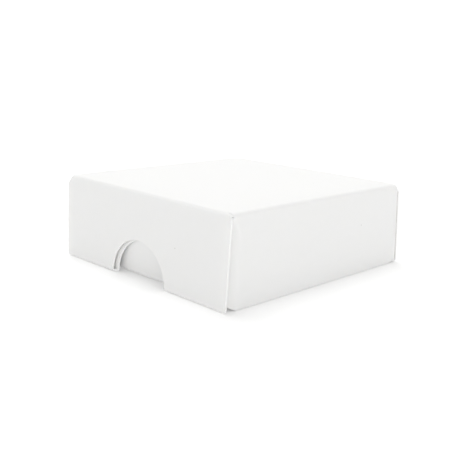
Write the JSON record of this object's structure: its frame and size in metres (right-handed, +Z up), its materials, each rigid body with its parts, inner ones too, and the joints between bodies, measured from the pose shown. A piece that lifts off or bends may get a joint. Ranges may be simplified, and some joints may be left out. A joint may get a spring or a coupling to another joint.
{
  "type": "jewelry gift box",
  "caption": "Folded boxboard jewelry gift box with a full-depth lift-off lid, thumb notches and a lift-out flocked foam pad.",
  "frame": {"origin": "on the ground under the centre of the box's footprint", "axes": "+Z up through the lid; the front wall with the thumb notch faces -Y; +X is to the right of someone facing the front"},
  "size_m": [0.078, 0.083, 0.028],
  "materials": {
    "boxboard": "satin",
    "foam": "matte",
    "flock": "matte"
  },
  "bodies": {
    "base": {"base_bottom_panel": "boxboard", "base_front_outer_wall": "boxboard", "base_front_inner_wall": "boxboard", "base_back_outer_wall": "boxboard", "base_back_inner_wall": "boxboard", "base_left_wall": "boxboard", "base_right_wall": "boxboard", "base_front_left_flap": "boxboard", "base_front_right_flap": "boxboard", "base_back_left_flap": "boxboard", "base_back_right_flap": "boxboard"},
    "lid": {"lid_top_panel": "boxboard", "lid_front_outer_wall": "boxboard", "lid_front_inner_wall": "boxboard", "lid_back_outer_wall": "boxboard", "lid_back_inner_wall": "boxboard", "lid_left_wall": "boxboard", "lid_right_wall": "boxboard", "lid_front_left_flap": "boxboard", "lid_front_right_flap": "boxboard", "lid_back_left_flap": "boxboard", "lid_back_right_flap": "boxboard"},
    "insert": {"insert_foam": "foam", "insert_facing": "flock"}
  },
  "joints": [
    {"name": "lid_lift", "type": "slide", "parent": "base", "child": "lid", "axis": [0, 0, 1], "range_m": [0, 0.05]},
    {"name": "insert_lift", "type": "slide", "parent": "base", "child": "insert", "axis": [0, 0, 1], "range_m": [0, 0.016]}
  ]
}
